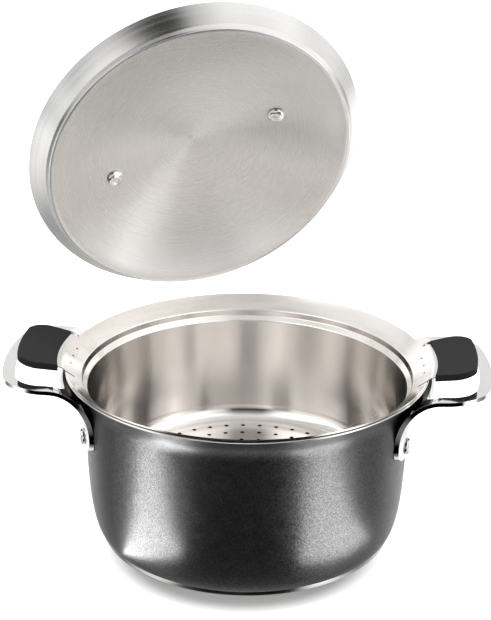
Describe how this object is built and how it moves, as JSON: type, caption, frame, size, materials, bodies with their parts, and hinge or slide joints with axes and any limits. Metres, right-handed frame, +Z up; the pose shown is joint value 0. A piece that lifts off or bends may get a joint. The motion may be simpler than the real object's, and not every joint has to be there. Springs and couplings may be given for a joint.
{
  "type": "steamer pot",
  "caption": "Coated cooking pot with riveted loop handles, a lift-out perforated steamer insert with soft grips, and a domed steel lid held above it.",
  "frame": {"origin": "middle of the pot's base, on the surface it stands on", "axes": "+Z up along the pot's axis, +X through the pot's handles, +Y away from the viewer of the picture"},
  "size_m": [0.365, 0.2746, 0.3983],
  "materials": {
    "coating": "dark grey metallic speckled coating",
    "polished_steel": "mirror polished stainless steel",
    "rivet_steel": "polished stainless steel rivet",
    "satin_steel": "spun satin stainless steel",
    "raw_aluminium": "bare aluminium disc inside the base",
    "silicone": "matt black silicone"
  },
  "bodies": {
    "pot": {"pot_shell": "coating", "base_dish": "polished_steel", "base_core": "raw_aluminium", "pot_handle_left": "polished_steel", "pot_handle_right": "polished_steel", "handle_rivet_left_front": "rivet_steel", "handle_rivet_left_back": "rivet_steel", "handle_rivet_right_front": "rivet_steel", "handle_rivet_right_back": "rivet_steel"},
    "insert": {"steamer_insert": "satin_steel", "insert_grip_left": "silicone", "insert_grip_right": "silicone"},
    "lid": {"lid_plate": "satin_steel", "lid_handle": "polished_steel", "lid_rivet_left": "rivet_steel", "lid_rivet_right": "rivet_steel"}
  },
  "joints": [
    {"name": "insert_lift", "type": "slide", "parent": "pot", "child": "insert", "axis": [0, 0, 1], "range_m": [0, 0.15]},
    {"name": "lid_tip", "type": "hinge", "parent": "insert", "child": "lid", "pos_m": [-0.05623, 0.13279, 0.1442], "axis": [0.9185, 0.3889, 0.0715], "range_deg": [0, 69.8]}
  ]
}
